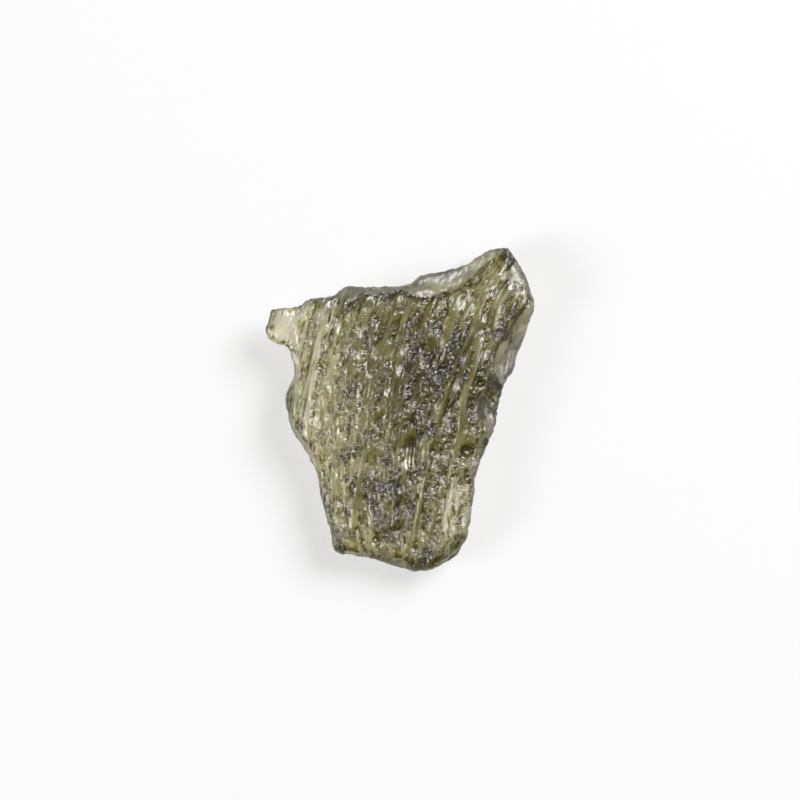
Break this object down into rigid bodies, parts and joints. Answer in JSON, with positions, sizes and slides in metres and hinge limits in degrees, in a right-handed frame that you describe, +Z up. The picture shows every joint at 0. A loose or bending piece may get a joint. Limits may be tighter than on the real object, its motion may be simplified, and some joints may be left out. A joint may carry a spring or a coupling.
{
  "type": "moldavite",
  "caption": "Thumbnail-sized raw moldavite: one flat piece of clear olive-green natural glass with a pitted, flow-striped skin, lying on a small flat spot.",
  "frame": {"origin": "on the surface that the stone lies on, below the middle of its outline", "axes": "+Z up through the stone's thickness, +Y along its long way towards the upper peak, +X right as seen from above"},
  "size_m": [0.0217, 0.026, 0.005],
  "materials": {
    "moldavite_glass": "clear olive-green natural glass, thin places pale and thick places dark, with a glossy pitted skin"
  },
  "bodies": {
    "root": {"moldavite": "moldavite_glass"}
  },
  "joints": []
}
